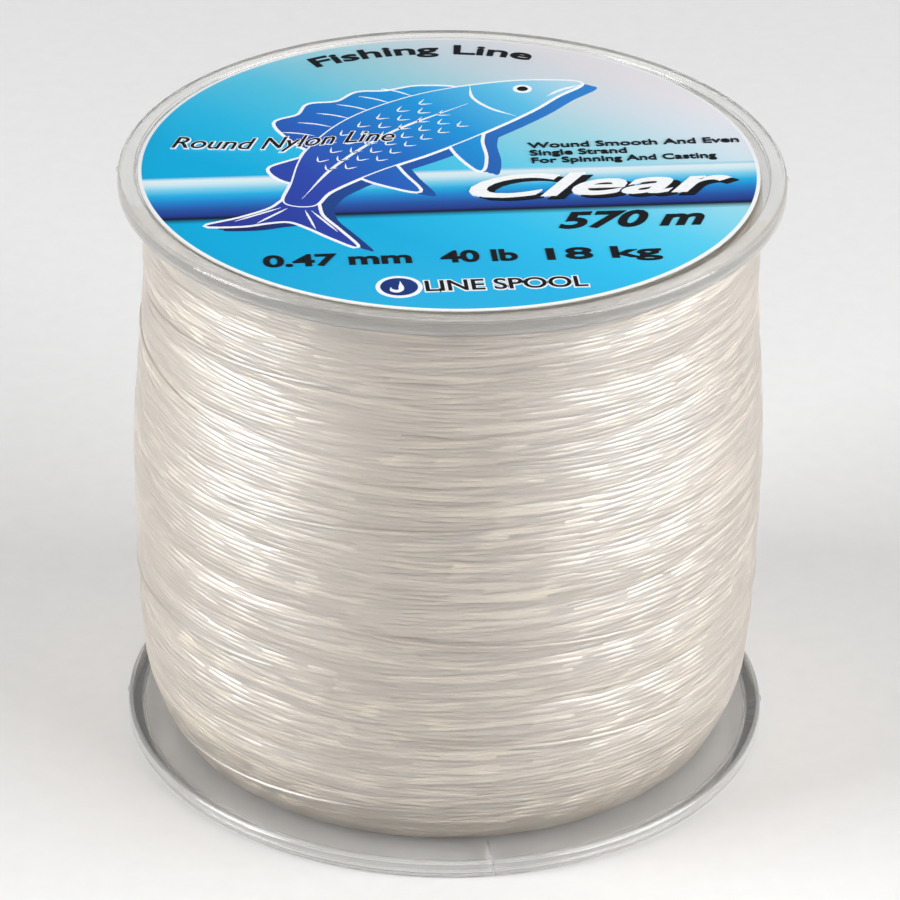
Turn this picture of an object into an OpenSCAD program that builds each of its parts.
// Fishing line spool: two clear flanges on a barrel, wound full of monofilament line.
// Millimetres, +Z up. The origin is at the centre of the lower rim's face.

/* [Spool] */
// Diameter over the flanges
flange_d = 68; // [60:1:80]
// Height over both rims
spool_h = 64; // [50:1:80]
// Outer diameter of the barrel under the line
barrel_d = 39; // [34:1:42]
// Wall of the barrel
barrel_wall = 1.6; // [1.2:0.1:2.2]
// Bore for the spindle
bore_d = 12; // [8:0.5:14]
// Wall of the spindle tube
tube_wall = 1.5; // [1:0.1:2]

/* [Flanges] */
// Height of a rim
rim_h = 1.8; // [1.6:0.1:2.4]
// Radial width of a rim
rim_w = 1.8; // [1.6:0.1:2.6]
// Step from a rim's outer face down to the web
recess = 0.35; // [0.25:0.05:0.5]
// Rounding of a rim's corners
rim_round = 0.45; // [0.2:0.05:0.6]
// Height of the spigots and ribs inside the barrel
spigot_h = 5; // [3:0.5:8]
// Thickness of spigots, collars and ribs
spigot_wall = 1.4; // [1:0.1:1.6]
// Ribs between the collar and the spigot
rib_count = 6; // [3:1:12]
// How far the moulding's parting marks stand out of a rim
mark_proud = 0.15; // [0.05:0.05:0.2]

/* [Line] */
// Diameter of the line
line_d = 0.47; // [0.2:0.01:0.6]
// Width of an empty line-catch slit
slit_w = 0.2; // [0.1:0.05:0.4]
// Bearing of the empty slit, counted from the front towards +X
slit_bearing = 9; // [0:1:40]

/* [Label] */
// Gap between the label and the rim
label_gap = 0.6; // [0.5:0.1:4]
// Thickness of the label
label_t = 0.15; // [0.1:0.05:0.25]

/* [Hidden] */
$fn = 96;
over = 1;                                   // how far a cutter reaches past what it cuts
sunk = 0.1;                                 // how far a wall starts inside the web it stands on

flange_r = flange_d / 2;
web_t = rim_h - recess;
barrel_r = barrel_d / 2;
barrel_in_r = barrel_r - barrel_wall;
bore_r = bore_d / 2;
tube_r = bore_r + tube_wall;
slit_from_r = flange_r - 4;                 // a slit starts outside the wound line
label_r = flange_r - rim_w - label_gap;
label_at = [-0.35, 0.3];                    // the label is stuck on a little off centre
corner_steps = 4;                           // flats to each rounded corner
mark_r = 0.4;
mark_h = 0.6;

// The wound line's outline: share of the height between the webs, and how far inside the flange.
// It is pulled in at the foot, fullest a little below the middle and slack towards the top.
pack_outline = [[0, 4.8], [0.02, 4.0], [0.05, 3.1], [0.1, 2.1], [0.17, 1.6], [0.3, 1.3], [0.5, 1.1],
                [0.62, 1.4], [0.76, 2.1], [0.86, 2.4], [1, 2.4]];
pack_foot = rim_h;
pack_top = spool_h - rim_h;
outline_steps = 3;                          // steps that smooth each stretch of the outline

// The running end: [bearing from its slit, distance inside the flange, height over the web],
// from the foot of the winding at the back, along the lower web and down into the slit.
end_slit_bearing = slit_bearing + 180;
end_route = [[-50, 4.1, 0.3], [-38, 4.1, 0.3], [-26, 4.0, 0.3], [-15, 3.8, 0.3], [-7, 3.5, 0.3], [-2, 3.1, 0.2],
             [0, 2.5, -0.1], [0, 1.9, -0.5], [0, 1.3, -0.7], [0, 0.7, -0.8], [0, 0.2, -0.8]];
tube_sides = 8;
route_steps = 2;                            // rings to each stretch of the route

// The start of the line: a hole in the barrel above the lower spigot, and a knot behind it.
start_hole_z = rim_h + spigot_h + 3;
start_hole_r = line_d / 2 + 0.06;
knot_r = 0.8;

// A flat ring between two radii
module ring_section(outer, inner) {
    difference() {
        circle(r = outer);
        circle(r = inner);
    }
}

// The same ring given a height, standing on z
module ring(outer, inner, h, z = 0) {
    translate([0, 0, z]) linear_extrude(h) ring_section(outer, inner);
}

// A rectangle on the X axis from x, with all four corners rounded
module rounded_section(w, h, r, x) {
    corners = [[x + w - r, h - r, 0], [x + r, h - r, 90], [x + r, r, 180], [x + w - r, r, 270]];
    polygon([for (c = corners, k = [0 : corner_steps])
        let (a = c[2] + 90 * k / corner_steps) [c[0] + r * cos(a), c[1] + r * sin(a)]]);
}

// A direction in plan, counted from the front (-Y) towards +X
function bearing(a, r) = [r * sin(a), -r * cos(a)];

// A radial cut through the web and rim, open at the edge
module slit(a, w) {
    rotate([0, 0, a - 90]) translate([slit_from_r, -w / 2, -over])
        cube([flange_r - slit_from_r + over, w, rim_h + 2 * over]);
}

// One flange as moulded, outer face down: rim, web, spigot for the barrel, collar and ribs
module flange() {
    rotate_extrude() rounded_section(rim_w, rim_h, rim_round, flange_r - rim_w);
    ring(flange_r - rim_w / 2, tube_r, web_t, recess);
    translate([0, 0, rim_h - sunk]) linear_extrude(spigot_h + sunk) {
        ring_section(barrel_in_r, barrel_in_r - spigot_wall);
        ring_section(tube_r + spigot_wall, tube_r);
        for (i = [0 : rib_count - 1]) rotate((i + 0.5) * 360 / rib_count)
            translate([tube_r + spigot_wall / 2, -spigot_wall / 2])
                square([barrel_in_r - tube_r - spigot_wall, spigot_wall]);
    }
    for (side = [-1, 1]) translate([side * (flange_r + mark_proud - mark_r), 0, (rim_h - mark_h) / 2])
        cylinder(r = mark_r, h = mark_h);
}

// Smooth points through a list of points, a few to each stretch
function bend(a, b, c, d, t) = 0.5 * (2 * b + (c - a) * t + (2 * a - 5 * b + 4 * c - d) * t * t
                                      + (3 * b - a - 3 * c + d) * t * t * t);
function smooth(p, n) = let (last = len(p) - 1)
    [for (i = [0 : last - 1], k = [0 : n - 1])
        bend(p[max(i - 1, 0)], p[i], p[i + 1], p[min(i + 2, last)], k / n), p[last]];

module lower_flange() {
    color([0.86, 0.88, 0.9, 0.4]) difference() {
        flange();
        slit(slit_bearing, slit_w);
        slit(end_slit_bearing, line_d);
    }
}

module upper_flange() {
    color([0.86, 0.88, 0.9, 0.4]) translate([0, 0, spool_h]) mirror([0, 0, 1]) flange();
}

module barrel() {
    color([0.8, 0.84, 0.88, 0.5]) difference() {
        ring(barrel_r, barrel_in_r, spool_h - 2 * rim_h, rim_h);
        translate([0, 0, start_hole_z]) rotate([90, 0, 0]) cylinder(r = start_hole_r, h = flange_r);
    }
}

module spindle_tube() {
    color([0.9, 0.9, 0.88]) ring(tube_r, bore_r, spool_h - 2 * recess, recess);
}

module front_label() {
    color([0.15, 0.68, 0.9])
        translate([label_at[0], label_at[1], spool_h - recess]) cylinder(r = label_r, h = label_t);
}

module line_winding() {
    rise = pack_top - pack_foot;
    outer = [for (p = pack_outline) [flange_r - p[1], pack_foot + p[0] * rise]];
    color([0.9, 0.88, 0.85]) rotate_extrude()
        polygon(concat([[barrel_r, pack_foot]], smooth(outer, outline_steps), [[barrel_r, pack_top]]));
}

// One ring of a tube's skin, square to the path at point i
function tube_ring(p, i, r) = let (
    last = len(p) - 1,
    way = p[min(i + 1, last)] - p[max(i - 1, 0)],
    side = cross(way, [0, 0, 1]) / norm(cross(way, [0, 0, 1])),
    top = cross(side, way) / norm(way)
) [for (k = [0 : tube_sides - 1]) p[i] + r * (cos(k * 360 / tube_sides) * side + sin(k * 360 / tube_sides) * top)];

module tube(p, r) {
    last = len(p) - 1;
    polyhedron(
        [for (i = [0 : last]) each tube_ring(p, i, r)],
        concat(
            [[for (k = [0 : tube_sides - 1]) k]],
            [for (i = [0 : last - 1], k = [0 : tube_sides - 1]) let (n = (k + 1) % tube_sides)
                [i * tube_sides + k, (i + 1) * tube_sides + k, (i + 1) * tube_sides + n, i * tube_sides + n]],
            [[for (k = [tube_sides - 1 : -1 : 0]) last * tube_sides + k]]
        )
    );
}

module line_end() {
    way = [for (p = end_route) let (at = bearing(end_slit_bearing + p[0], flange_r - p[1])) [at[0], at[1], rim_h + p[2]]];
    color([0.92, 0.9, 0.87]) tube(smooth(way, route_steps), line_d / 2);
}

module start_knot() {
    color([0.92, 0.9, 0.87]) translate([0, 0, start_hole_z]) rotate([90, 0, 0]) {
        translate([0, 0, barrel_in_r - knot_r]) cylinder(d = line_d, h = barrel_wall + knot_r);
        translate([0, 0, barrel_in_r - knot_r]) sphere(r = knot_r);
    }
}

lower_flange();
upper_flange();
barrel();
spindle_tube();
front_label();
line_winding();
line_end();
start_knot();
